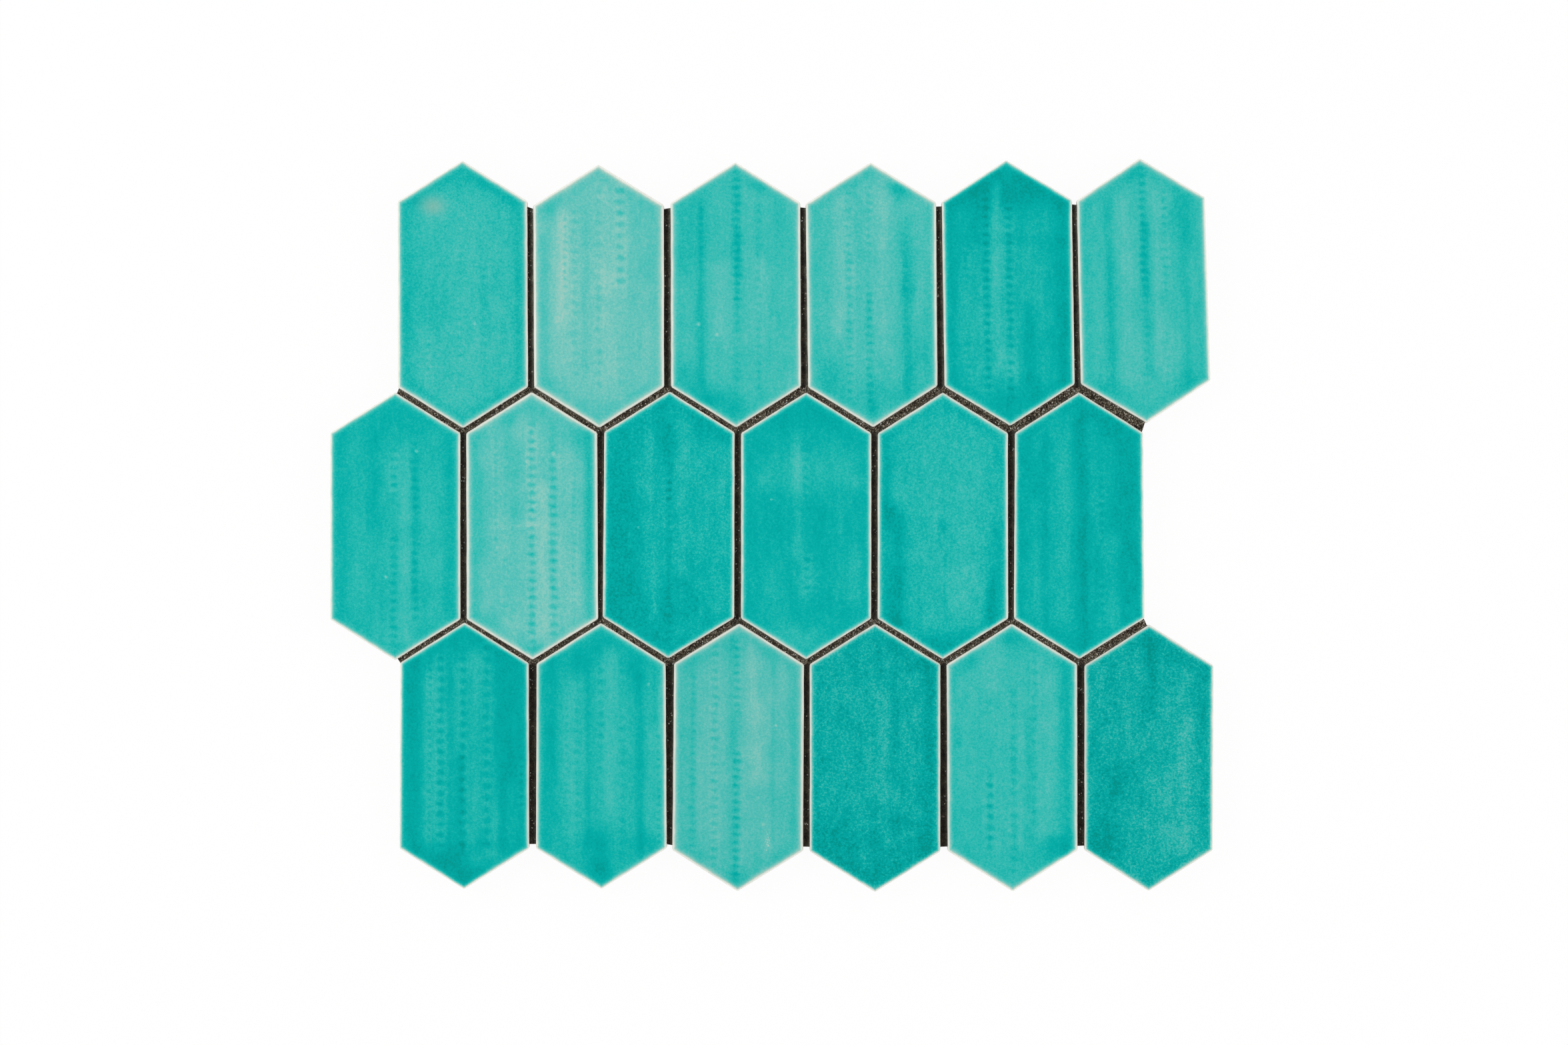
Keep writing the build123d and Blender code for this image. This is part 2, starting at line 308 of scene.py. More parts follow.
        bands=[(-19, 3.6, -38, 36, 0.6), (16.5, 5.5, -11, 40, 0.6), (4, 2.4, -34, 41, -0.65),
               (-5.5, 1.0, -36, 36, 0.4), (-11, 1.8, -30, 34, -0.4), (-2.5, 1.4, 0, 34, -0.35),
               (-14, 2.5, -32, 30, -0.7), (-1.5, 1.4, -36, 0, 0.8), (14.5, 1.8, -36, -10, 0.7),
               (9.5, 2, -20, 32, -0.3)],
        patches=[(0, -45, 9, 6, 0.8), (4, -39, 3, 3, -0.5), (10, -37, 3.5, 2, -0.5), (-6, -38, 8, 5, 0.9),
                 (7, -33, 3, 2.5, 0.7), (2, 41, 12, 5, 0.7), (12, -25, 1.5, 12, -0.8),
                 (-6, 0, 2, 30, -0.5), (3, 38, 9, 6, -0.5), (4, -40, 4, 4, -0.4)],
        columns=[(-9, 1.7, -36, 38, 1.05), (-13, 1.0, -34, 34, 0.8), (-0.5, 1.6, -36, 37, 1.0),
                 (8.5, 1.7, -36, 43, 0.8), (21.5, 0.9, -20, -2, 0.9)],
    ),
    ("bottom", 1): dict(
        tones=(0.88, 0.68, 0.55), grain=0.9, painted_shade=0.99, pitch=4.1, border=0.2,
        bands=[(-19, 3.4, -12, 38, 0.6), (3.5, 2.6, -26, 41, -0.8), (-11, 4, -31, 28, -0.5),
               (19, 2.4, -29, 11, -0.5), (-5, 1.0, -34, 34, 0.4), (14.5, 1.8, -38, 31, 0.6),
               (-20.5, 2, -36, -12, 0.2)],
        patches=[(-1, -36, 4.5, 12, 0.7), (-7, 36, 6, 6, 0.8), (13, 33, 5, 5, 0.7), (0, 43, 5, 4, 0.5),
                 (0, -43, 4, 5, 0.8), (-4, -33, 5, 4, 0.4), (16, -32, 3, 4, 0.6), (-15, -25, 8, 13, 0.35),
                 (9, -34, 4, 5, 0.5), (22, 18, 1.2, 14, -0.9), (-6, 18, 7, 9, 0.25), (5, 40, 6, 3, 0.4)],
        columns=[(-9, 1.6, -36, 29, 0.5), (-13, 1.0, -34, 30, 0.4), (0, 1.5, 4, 33, 0.8),
                 (0, 1.5, -6, -2, 0.8), (0, 1.5, -18, -14, 0.9), (8, 1.6, -36, 33, 0.45),
                 (21.5, 0.9, -36, 10, 0.7)],
        specks=[(18, 27, 0.6)],
    ),
    ("bottom", 2): dict(
        tones=(0.64, 0.49, 0.36), grain=0.9, painted_shade=0.96, pitch=3.0, border=0.4,
        bands=[(5, 2.4, 20, 43, -0.8), (6.5, 4, -11, 21, -0.8), (13, 0.9, -36, 36, 0.5),
               (20.5, 1.2, -36, 36, 0.4), (-20.5, 2.6, -36, 36, 0.3), (-0.5, 1.7, -46, 2, 0.5),
               (-17, 1.6, -34, 33, 0.8), (-2, 2, -46, 44, 0.8), (-5, 2.4, -30, 30, -0.2)],
        patches=[(12, 39, 4, 3, 0.6), (-18, 37, 4, 3, 0.7), (-14, 0, 3, 20, -0.25), (-2, 40, 12, 6, 0.5),
                 (12, 22, 4, 8, -0.35), (18, 24, 3, 6, -0.35), (0, -46, 5, 4, 0.9), (14, -38, 8, 4, 0.5),
                 (17, -18, 4, 16, 0.2), (12.5, -34, 1.5, 3, -0.6), (0, 37, 4, 6, -0.4),
                 (10, -33, 2, 5, -0.5), (-13, -37, 6, 4, 0.4)],
        columns=[(-0.5, 1.5, 17, 43, 1.0), (-0.5, 1.9, -46, 3, 1.1), (-9, 1.6, -41, 43, 0.9),
                 (-17, 1.4, -36, 31, 0.5)],
        specks=[(14, 12, 0.6), (7.5, -15, 0.6), (9.5, -25, 0.7)], scuff=(11, -31, 2.4, 8.5, 0.85),
    ),
    ("bottom", 3): dict(
        tones=(0.93, 0.765, 0.64), grain=1.9, painted_shade=0.935, pitch=3.3, border=0.3,
        bands=[(3, 2.4, -16, 26, -0.8), (7, 1.8, -11, 31, 0.5), (20, 2.8, -36, 36, 0.7),
               (-20.5, 2, -36, 36, 0.2)],
        patches=[(0, -38, 22, 13, 0.9), (10, -28, 3, 3, -0.6), (13, 15, 3, 4, -0.5), (0, 44, 16, 4, 0.2),
                 (0, -20, 2, 4, 0.7), (12, 34, 7, 4, 0.6), (-3, -36, 4, 4, -0.9), (4, -30, 2, 9, -0.9),
                 (10, -25, 5, 4, 0.9), (-18, -30, 6, 6, 0.5), (9, 40, 5, 3, 0.7)],
        columns=[(-0.5, 1.4, -6, 26, 0.45)],
        specks=[(-15, -36, 0.4), (-12, -37.5, 0.35), (-17, -34.5, 0.35), (-4, -41, 0.4), (2, -29, 0.35)],
        scuff=(-15, -36.5, 6.5, 4.5, 0.5),
    ),
    ("bottom", 4): dict(
        tones=(0.75, 0.60, 0.52), grain=1.0, painted_shade=0.99, pitch=4.1, border=0.3,
        bands=[(-7.5, 3.5, 24, 43, -0.7), (13, 2.4, -29, 31, -0.7), (20, 2.4, -38, 38, 0.9),
               (-8.5, 1.8, -34, -6, 0.4), (0.5, 1.7, -46, 25, 0.3), (3.5, 1.4, -34, 30, -0.4),
               (6.5, 2, -32, 20, 0.6)],
        patches=[(0.5, 44, 5, 4, 1.1), (-15, 36, 4, 3, 0.5), (17, -33, 6, 5, 1.1),
                 (-20, 5, 0.9, 0.9, 0.9), (8, -38, 8, 6, 0.6), (-15, -25, 8, 12, 0.3)],
        columns=[(-8.5, 1.6, 15, 35, 0.4), (-8.5, 1.8, -34, -6, 1.0), (0.5, 1.6, -46, 25, 0.55),
                 (8.5, 1.5, 2, 37, 0.6), (8.5, 1.5, -25, -4, 0.6)],
    ),
    ("bottom", 5): dict(
        tones=(0.95, 0.75, 0.60), grain=2.0, painted_shade=0.925, pitch=3.7, border=0.3,
        bands=[(13.5, 3.2, -36, 16, -0.7), (6, 3.2, -31, -4, -0.5), (1, 2.4, 14, 42, 0.8),
               (20, 2.6, 14, 39, 0.5)],
        patches=[(-14, -20, 6, 14, 0.5), (0, 45, 5, 4, 0.8), (-11, -8, 6, 6, 0.8), (-17, -33, 6, 6, 0.9),
                 (9, 37, 5, 3, 0.8), (6, -30, 12, 9, -0.35)],
        columns=[(8.5, 1.4, 14, 34, 0.7), (12.5, 1.1, -29, 26, 0.5)],
        specks=[(19.5, -1, 0.7)],
    ),
}


def smooth(low, high, x):
    """0 below low, 1 above high, and an even rise between."""
    share = np.clip((x - low) / (high - low), 0, 1)
    return share * share * (3 - 2 * share)


def run(low, high, v, fade=3.0):
    """1 between two heights on a tile, fading out past both."""
    return smooth(low - fade, low + fade, v) * smooth(high + fade, high - fade, v)


def blob(patch, u, v):
    """A soft oval patch, 1 in its middle."""
    return np.exp(-(((u - patch[0]) / patch[2]) ** 2) - ((v - patch[1]) / patch[3]) ** 2)


def to_outline(u, v):
    """How far a point lies inside a tile's outline."""
    half = tile_width / 2
    to_side = half - np.abs(u)
    reach = (shoulder + point_rise) * half
    to_point = (reach - point_rise * np.abs(u) - half * np.abs(v)) / hypot(point_rise, half)
    return np.minimum(to_side, to_point)


def uneven(x, y, across, up, layer):
    """Smooth noise at a place, with features so far across and up, and another pattern in each layer."""
    return noise.noise(Vector((x / across, y / up, layer)))


def set_vectors(mesh, name, *parts):
    """Three numbers at every point of a mesh, as one named attribute."""
    values = np.stack(np.broadcast_arrays(*parts), axis=1).astype(np.float32)
    mesh.attributes.new(name, "FLOAT_VECTOR", "POINT").data.foreach_set("vector", values.ravel())


def points_of(mesh):
    """The points of a mesh, one row each."""
    flat = np.empty(len(mesh.vertices) * 3)
    mesh.vertices.foreach_get("co", flat)
    return flat.reshape(-1, 3)


def mesh_from(bm, name):
    """The mesh of a finished bmesh, which is freed."""
    mesh = bpy.data.meshes.new(name)
    bm.to_mesh(mesh)
    bm.free()
    return mesh


def new_object(name, data):
    """A new object in the scene."""
    thing = bpy.data.objects.new(name, data)
    bpy.context.collection.objects.link(thing)
    return thing


def finished(name, mesh, material, node):
    """Makes a finished piece of a mesh, with its material and the CAD node it stands for."""
    piece = new_object(name, mesh)
    mesh.materials.clear()
    mesh.materials.append(material)
    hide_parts(node)
    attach(piece, "root")


def cut_across(bm, faces, point, normal):
    """Cuts some faces of a mesh along a plane, and returns them with the new ones."""
    edges = {edge for face in faces for edge in face.edges}
    verts = {vert for edge in edges for vert in edge.verts}
    result = bmesh.ops.bisect_plane(
        bm, geom=[*faces, *edges, *verts], dist=1e-4, plane_co=point, plane_no=normal
    )
    return [item for item in result["geom"] if isinstance(item, bmesh.types.BMFace)]


# Materials

def linear(colour):
    """A colour written as it looks on a screen, in linear light."""
    parts = [int(colour[start : start + 2], 16) / 255 for start in (1, 3, 5)]
    return [*[part / 12.92 if part <= 0.04045 else ((part + 0.055) / 1.055) ** 2.4 for part in parts], 1]


def add(tree, kind, inputs=None, stops=None, **settings):
    """Adds a node with its settings, its links, and its stops if it is a colour ramp.

    An input is a number, a colour, another node's socket, or that node, which stands for its first
    socket. A ramp has two stops already, so the first two here are those.
    """
    node = tree.nodes.new("ShaderNode" + kind)
    for name, value in settings.items():
        setattr(node, name, value)
    for place, value in (inputs or {}).items():
        if isinstance(value, bpy.types.Node):
            value = value.outputs[0]
        if isinstance(value, bpy.types.NodeSocket):
            tree.links.new(value, node.inputs[place])
        else:
            node.inputs[place].default_value = value
    for index, (position, colour) in enumerate(stops or ()):
        element = node.color_ramp.elements
        stop = element[index] if index < 2 else element.new(position)
        stop.position = position
        stop.color = linear(colour)
    return node


def new_material(name):
    """A new material, and its tree without any node."""
    material = bpy.data.materials.new(name)
    material.use_nodes = True
    material.node_tree.nodes.clear()
    return material, material.node_tree


def per_mm(size):
    """The texture scale at which one feature is this many millimetres across."""
    return 1000 / size


def glaze_material():
    """Turquoise lead-free glaze on pressed white stoneware, dipped and fired.

    The glaze is clear and stained, so it is deep teal where it lies thick, milky where it lies thin,
    and shows the cream clay where it draws back from the edge. It is smooth and glossy, with a fine
    grain from bubbles. Below the glaze line the clay is matte and slightly sandy.
    """
    material, tree = new_material("turquoise_glaze_on_stoneware")
    place = add(tree, "TexCoord").outputs["Object"]
    painted = []
    for name in ("glaze", "dash", "wear", "rim"):
        numbers = add(tree, "Attribute", attribute_name=name).outputs["Vector"]
        painted.append(add(tree, "SeparateXYZ", {0: numbers}).outputs)
    (depth, grain, painted_shade), (across, along, strength), (speck, scuff, peach), rim = painted

    # Grain: bubbles and settled stain, about 0.75 mm across
    fine = add(tree, "TexNoise",
               {"Vector": place, "Scale": per_mm(0.75), "Detail": 2.5, "Roughness": 0.62})
    # Clouds: slow changes about 4 mm across and 9 mm long, drawn out by the drip of the glaze
    cloud_map = add(tree, "Mapping", {0: place, 3: (per_mm(4.0), per_mm(9.0), per_mm(4.0))})
    cloud = add(tree, "TexNoise", {"Vector": cloud_map, "Scale": 1.0, "Detail": 3.0, "Roughness": 0.55})
    # Streaks: thin runs about 1.6 mm across and 25 mm long
    streak_map = add(tree, "Mapping", {0: place, 3: (per_mm(1.6), per_mm(25.0), per_mm(1.6))})
    streak = add(tree, "TexNoise", {"Vector": streak_map, "Scale": 1.0, "Detail": 2.0, "Roughness": 0.5})
    fine_part = add(tree, "Math", {0: fine, 1: -0.5}, operation="ADD")
    fine_part = add(tree, "Math", {0: fine_part, 1: 0.48}, operation="MULTIPLY")
    cloud_part = add(tree, "Math", {0: cloud, 1: -0.5}, operation="ADD")
    mottle = add(tree, "Math", {0: cloud_part, 1: 0.2, 2: fine_part}, operation="MULTIPLY_ADD")
    mottle = add(tree, "Math", {0: mottle, 1: grain}, operation="MULTIPLY")
    streak_part = add(tree, "Math", {0: streak, 1: -0.5}, operation="ADD")
    mottle = add(tree, "Math", {0: streak_part, 1: 0.07, 2: mottle}, operation="MULTIPLY_ADD")
    body = add(tree, "Math", {0: depth, 1: mottle}, operation="ADD")

    # Dashes: short dark marks, about 3 mm wide, that repeat up the tile in a paler column
    jitter = add(tree, "TexNoise", {"Vector": place, "Scale": per_mm(2.2), "Detail": 2.0})
    jitter = add(tree, "SeparateXYZ", {0: jitter.outputs["Color"]}).outputs
    sway = add(tree, "Math", {0: jitter[0], 1: -0.5}, operation="ADD")
    across = add(tree, "Math", {0: sway, 1: 1.1, 2: across}, operation="MULTIPLY_ADD")
    lift = add(tree, "Math", {0: jitter[1], 1: -0.5}, operation="ADD")
    along = add(tree, "Math", {0: lift, 1: 0.35, 2: along}, operation="MULTIPLY_ADD")
    turn = add(tree, "Math", {0: along}, operation="FLOOR")
    phase = add(tree, "Math", {0: along}, operation="FRACT")
    phase = add(tree, "Math", {0: phase, 1: -0.5}, operation="ADD")
    phase = add(tree, "Math", {0: phase, 1: 3.3}, operation="MULTIPLY")
    from_dash = add(tree, "CombineXYZ", {0: across, 1: phase})
    from_dash = add(tree, "VectorMath", {0: from_dash}, operation="LENGTH")
    mark = add(tree, "MapRange", {0: from_dash.outputs["Value"], 1: 1.5, 2: 0.1},
               interpolation_type="SMOOTHSTEP")
    column = add(tree, "Math", {0: across}, operation="ABSOLUTE")
    halo = add(tree, "MapRange", {0: column, 1: 2.1, 2: 0.6}, interpolation_type="SMOOTHSTEP")
    chance = add(tree, "TexWhiteNoise", {1: turn}, noise_dimensions="1D").outputs["Value"]
    chance = add(tree, "MapRange", {0: chance, 3: 0.75, 4: 1.1})
    mark = add(tree, "Math", {0: mark, 1: chance}, operation="MULTIPLY")
    dark = add(tree, "Math", {0: mark, 1: 0.17}, operation="MULTIPLY")
    dark = add(tree, "Math", {0: halo, 1: -0.065, 2: dark}, operation="MULTIPLY_ADD")
    body = add(tree, "Math", {0: dark, 1: strength, 2: body}, operation="MULTIPLY_ADD")

    # Rim: the glaze thins to nothing over the last millimetre or two, further where it lies thin
    waver = add(tree, "TexNoise", {"Vector": place, "Scale": per_mm(5.0), "Detail": 3.0})
    waver = add(tree, "MapRange", {0: waver, 3: -0.3, 4: 0.3})
    inside = add(tree, "Math", {0: rim[0], 1: waver}, operation="ADD")
    inside = add(tree, "Math", {0: inside, 1: -0.2}, operation="ADD")
    inside = add(tree, "Math", {0: inside, 1: 0.0}, operation="MAXIMUM")
    reach = add(tree, "Math", {0: depth, 1: -1.05, 2: 1.78}, operation="MULTIPLY_ADD")
    reach = add(tree, "Math", {0: reach, 1: 0.85}, operation="MAXIMUM")
    inside = add(tree, "Math", {0: inside, 1: reach}, operation="DIVIDE")
    inside = add(tree, "Math", {0: inside, 1: 1.6}, operation="POWER")
    thin = add(tree, "Math", {0: inside, 1: -1.0}, operation="MULTIPLY")
    thin = add(tree, "Math", {0: thin}, operation="EXPONENT")
    full = add(tree, "Math", {0: 1.0, 1: thin}, operation="SUBTRACT")
    tone = add(tree, "Math", {0: body, 1: full}, operation="MULTIPLY")

    # Specks and scuffs, where the glaze crawled or was rubbed and the pale clay shows
    bare = add(tree, "MapRange", {0: speck, 1: 1.5, 2: 0.0}, interpolation_type="SMOOTHSTEP")
    rub_map = add(tree, "Mapping", {0: place, 3: (per_mm(0.5), per_mm(0.8), per_mm(0.5))})
    rub = add(tree, "TexNoise", {"Vector": rub_map, "Scale": 1.0, "Detail": 4.0, "Roughness": 0.7})
    rub = add(tree, "Math", {0: scuff, 1: 0.34, 2: rub}, operation="MULTIPLY_ADD")
    rub = add(tree, "MapRange", {0: rub, 1: 0.79, 2: 0.93})
    bare = add(tree, "Math", {0: bare, 1: 0.6}, operation="MULTIPLY")
    rub = add(tree, "Math", {0: rub, 1: 0.85}, operation="MULTIPLY")
    bare = add(tree, "Math", {0: bare, 1: rub}, operation="MAXIMUM")
    tone_left = add(tree, "Math", {0: 1.0, 1: bare}, operation="SUBTRACT")
    tone = add(tree, "Math", {0: tone, 1: tone_left}, operation="MULTIPLY")

    colour = add(tree, "ValToRGB", {0: tone}, stops=[
        (0.00, "#E5E6DC"), (1.00, "#00978F"), (0.07, "#D3DDD3"), (0.15, "#B2D1C6"), (0.21, "#9ECBC0"),
        (0.30, "#86CAC0"), (0.38, "#70C6BD"), (0.47, "#58C2BA"), (0.57, "#3EBEB5"), (0.66, "#25B9B1"),
        (0.74, "#10B3AB"), (0.80, "#02AEA8"), (0.88, "#00A7A2"),
    ])
    colour = add(tree, "Mix", {0: peach, 6: colour, 7: linear("#D2B79F")}, data_type="RGBA").outputs[2]
    # Painted shade: the colour is dimmed tile by tile, darker in the bottom row towards the right
    colour = add(tree, "VectorMath", {0: colour, "Scale": painted_shade}, operation="SCALE")

    # Clay below the glaze line, about 2.5 mm down the sides, with fine dark grog
    below = add(tree, "Math", {0: waver, 1: 1.6, 2: rim[0]}, operation="MULTIPLY_ADD")
    clay = add(tree, "MapRange", {0: below, 1: -2.3, 2: -2.9})
    grog = add(tree, "TexNoise",
               {"Vector": place, "Scale": per_mm(0.8), "Detail": 4.0, "Roughness": 0.7})
    clay_colour = add(tree, "ValToRGB", {0: grog}, stops=[
        (0.30, "#8F8474"), (0.62, "#D3CABA"), (0.42, "#C3B8A5")])
    colour = add(tree, "Mix", {0: clay, 6: colour, 7: clay_colour}, data_type="RGBA").outputs[2]
    roughness = add(tree, "MapRange", {0: fine, 3: 0.14, 4: 0.24})
    roughness = add(tree, "Mix", {0: clay, 2: roughness, 3: 0.88})

    # Relief in millimetres: orange peel in the glaze, the dashes pressed a little, sandy clay below
    peel = add(tree, "TexNoise", {"Vector": place, "Scale": per_mm(3.0), "Detail": 2.0})
    peel = add(tree, "Math", {0: peel, 1: 0.06}, operation="MULTIPLY")
    pressed = add(tree, "Math", {0: mark, 1: strength}, operation="MULTIPLY")
    peel = add(tree, "Math", {0: pressed, 1: -0.02, 2: peel}, operation="MULTIPLY_ADD")
    sand = add(tree, "Math", {0: grog, 1: 0.25}, operation="MULTIPLY")
    relief = add(tree, "Mix", {0: clay, 2: peel, 3: sand})
    bump = add(tree, "Bump", {"Strength": 1.0, "Distance": metres, "Height": relief})
    surface = add(tree, "BsdfPrincipled", {
        "Base Color": colour, "Roughness": roughness, "IOR": 1.5, "Normal": bump})
    add(tree, "OutputMaterial", {0: surface})
    return material


def grout_material():
    """Dark brown sanded cement grout, tooled while it was wet.

    It is almost black and matte where the fine cement rose, in the upright joints, and sponged down to
    crowded sand grains 0.3 to 0.5 mm across in the slanted ones: dark, brown, buff and here and there
    a white or pinkish one.
    """
    material, tree = new_material("dark_sanded_cement_grout")
    place = add(tree, "TexCoord").outputs["Object"]
    # How sandy each point of a joint is, and the painted light along its right side
    sand_and_light_parts = add(tree, "Attribute", attribute_name="sand_and_painted_light").outputs["Vector"]
    sand_and_light_parts = add(tree, "SeparateXYZ", {0: sand_and_light_parts}).outputs
    sandy, painted_light = sand_and_light_parts[0], sand_and_light_parts[1]
    patchy = add(tree, "TexNoise",
                 {"Vector": place, "Scale": per_mm(3.5), "Detail": 4.0, "Roughness": 0.65})
    warp = add(tree, "TexNoise", {"Vector": place, "Scale": per_mm(0.8), "Detail": 2.0})
    warp = add(tree, "VectorMath", {0: warp.outputs["Color"], "Scale": 0.4 * metres}, operation="SCALE")
    warp = add(tree, "VectorMath", {0: place, 1: warp}, operation="ADD")
    # Sand: one cell of this pattern is a grain 0.35 mm across, and it domes up from its edge. Towards its
    # edge its colour also fades to the dark cement: partly cement between the grains, partly painted shade
    # in the gaps
    sand = add(tree, "TexVoronoi", {"Vector": warp, "Scale": per_mm(0.35), "Randomness": 1.0})
    pick = add(tree, "SeparateXYZ", {0: sand.outputs["Color"]}).outputs
    dome_and_gap_shade = add(tree, "MapRange", {0: sand.outputs["Distance"], 1: 1.0, 2: 0.5})
    grain = add(tree, "ValToRGB", {0: pick[0]}, stops=[
        (0.0, "#221C14"), (1.0, "#CBC2B2"), (0.3, "#473F33"), (0.6, "#6A6051"), (0.8, "#8A7F6E"),
        (0.92, "#A99D8B")])
    dusty = add(tree, "MapRange", {0: patchy, 1: 0.3, 2: 0.7, 3: 0.36, 4: 0.84})
    grain = add(tree, "VectorMath", {0: grain, "Scale": dusty}, operation="SCALE")
    cement = add(tree, "ValToRGB", {0: patchy}, stops=[
        (0.3, "#0B0704"), (0.75, "#2A2318"), (0.5, "#140E08")])
    # Grains show most where the joint is sandy, and darken to cement at their edges: real cement and
    # painted shade in the gaps
    show = add(tree, "Math", {0: sandy, 1: 0.84, 2: 0.1}, operation="MULTIPLY_ADD")
    show = add(tree, "Math", {0: show, 1: dome_and_gap_shade}, operation="MULTIPLY")
    colour = add(tree, "Mix", {0: show, 6: cement, 7: grain}, data_type="RGBA").outputs[2]
    # Painted light: a pale band along the right side of the joints, for light from the left on their
    # right wall, blotched by the same patches
    left = add(tree, "MapRange", {0: patchy, 1: 0.3, 2: 0.65, 3: 0.35, 4: 1.0})
    left = add(tree, "Math", {0: left, 1: painted_light}, operation="MULTIPLY")
    colour = add(tree, "Mix", {0: left, 6: colour, 7: linear("#7C7E71")}, data_type="RGBA").outputs[2]
    # Fine grit, drawn out along the upright joints by the tooling
    grit_map = add(tree, "Mapping", {0: place, 3: (per_mm(0.35), per_mm(0.8), per_mm(0.5))})
    grit = add(tree, "TexNoise", {"Vector": grit_map, "Scale": 1.0, "Detail": 3.0, "Roughness": 0.7})
    grit = add(tree, "MapRange", {0: grit, 1: 0.3, 2: 0.7, 3: 0.45, 4: 1.55})
    colour = add(tree, "VectorMath", {0: colour, "Scale": grit}, operation="SCALE")
    # White, buff or bluish quartz: one grain in thirty where it is sandy, and one in eighty elsewhere
    rare = add(tree, "MapRange", {0: sandy, 3: 0.988, 4: 0.965})
    quartz = add(tree, "Math", {0: pick[1], 1: rare}, operation="GREATER_THAN")
    clear = add(tree, "MapRange", {0: sandy, 3: 0.5, 4: 1.0})
    quartz = add(tree, "Math", {0: quartz, 1: clear}, operation="MULTIPLY")
    quartz_colour = add(tree, "ValToRGB", {0: pick[2]}, stops=[
        (0.0, "#9A8678"), (1.0, "#9FA6A8"), (0.5, "#C6BFB2")])
    colour = add(tree, "Mix", {0: quartz, 6: colour, 7: quartz_colour}, data_type="RGBA").outputs[2]
    # Relief in millimetres
    rise = add(tree, "Math", {0: sandy, 1: 0.09, 2: 0.05}, operation="MULTIPLY_ADD")
    rise = add(tree, "Math", {0: rise, 1: dome_and_gap_shade}, operation="MULTIPLY")
    rise = add(tree, "Math", {0: patchy, 1: 0.25, 2: rise}, operation="MULTIPLY_ADD")
    bump = add(tree, "Bump", {"Strength": 1.0, "Distance": metres, "Height": rise})
    roughness = add(tree, "MapRange", {0: sandy, 3: 0.6, 4: 0.85})
    surface = add(tree, "BsdfPrincipled", {
        "Base Color": colour, "Roughness": roughness, "Specular IOR Level": 0.08, "Normal": bump})
    add(tree, "OutputMaterial", {0: surface})
    return material


def net_material():
    """Woven glass-fibre net, dipped in white resin.

    Each strand is a flat bundle of fibres, so it shows fine lines along its length and a low sheen,
    with the resin a little yellow and thick in places.
    """
    material, tree = new_material("resin_dipped_glass_net")
    yarn = add(tree, "Attribute", attribute_name="yarn").outputs["Vector"]
    place = add(tree, "TexCoord").outputs["Object"]
    # Fibres are drawn 0.15 mm across, ten times their real width, so that they show
    lines_map = add(tree, "Mapping", {0: yarn, 3: (1 / 0.15, 1 / 6.0, 1.0)})
    lines = add(tree, "TexNoise", {"Vector": lines_map, "Scale": 1.0, "Detail": 3.0, "Roughness": 0.6})
    resin = add(tree, "TexNoise", {"Vector": place, "Scale": per_mm(9.0), "Detail": 3.0})
    colour = add(tree, "ValToRGB", {0: lines}, stops=[
        (0.3, "#B9B8B0"), (0.65, "#E6E5DF"), (0.5, "#D6D5CE")])
    colour = add(tree, "Mix", {0: resin, 6: colour, 7: linear("#D8D2BC")}, data_type="RGBA").outputs[2]
    relief = add(tree, "Math", {0: lines, 1: 0.08}, operation="MULTIPLY")
    bump = add(tree, "Bump", {"Strength": 1.0, "Distance": metres, "Height": relief})
    surface = add(tree, "BsdfPrincipled", {
        "Base Color": colour, "Roughness": 0.5, "IOR": 1.52, "Normal": bump})
    add(tree, "OutputMaterial", {0: surface})
    return material


# Tiles

def tile_blank():
    """One tile before it is laid: pressed, eased at its face, and fine enough on top to be worked."""
    bm = bmesh.new()
    half = tile_width / 2
    tip = shoulder + point_rise
    outline = [(0, tip), (-half, shoulder), (-half, -shoulder), (0, -tip), (half, -shoulder),
               (half, shoulder)]
    bm.faces.new([bm.verts.new((x, y, 0)) for x, y in outline])
    bmesh.ops.bevel(bm, geom=bm.verts[:], offset=corner_cut, segments=5, profile=0.5,
                    affect="VERTICES", material=-1)
    raised = bmesh.ops.extrude_face_region(bm, geom=bm.faces[:], use_keep_orig=True)["geom"]
    raised = [item for item in raised if isinstance(item, bmesh.types.BMVert)]
    bmesh.ops.translate(bm, verts=raised, vec=(0, 0, tile_thickness))
    bmesh.ops.recalc_face_normals(bm, faces=bm.faces[:])
    lip = [edge for edge in bm.edges if all(vert.co.z > tile_thickness - 0.01 for vert in edge.verts)]
    bmesh.ops.bevel(bm, geom=lip, offset=arris_width, segments=4, profile=0.5, affect="EDGES", material=-1)

    # Back: eleven shallow grooves with sloping sides
    back = [face for face in bm.faces if face.normal.z < -0.9]
    for side in (-1, 1):
        back = cut_across(bm, back, (side * groove_half_length, 0, 0), (1, 0, 0))
    grooves = [groove * groove_pitch for groove in range(-5, 6)]
    for groove in grooves:
        for side in (-1, 1):
            back = cut_across(bm, back, (0, groove + side * groove_width / 2, 0), (0, 1, 0))
    hollows = []
    for face in back:
        middle = face.calc_center_median()
        from_groove = min(abs(middle.y - groove) for groove in grooves)
        if abs(middle.x) < groove_half_length and from_groove < groove_width / 2:
            hollows.append(face)
    bmesh.ops.inset_region(bm, faces=hollows, thickness=groove_slope, depth=-groove_depth)

    # Face and upper walls: cut into a fine grid
    upper = [face for face in bm.faces if face.calc_center_median().z > 1.0 and face.normal.z > -0.1]
    for height in (wall_line, fine_from):
        upper = cut_across(bm, upper, (0, 0, height), (0, 0, 1))
    upper = [face for face in upper if face.calc_center_median().z > fine_from]
    for lines, normal in zip(grid_lines, ((1, 0, 0), (0, 1, 0))):
        for line in range(-lines, lines + 1):
            place = [line * grid_step * share for share in normal]
            upper = cut_across(bm, upper, place, normal)
    for face in bm.faces:
        face.smooth = face.calc_center_median().z > fine_from
    return mesh_from(bm, "tile_blank")


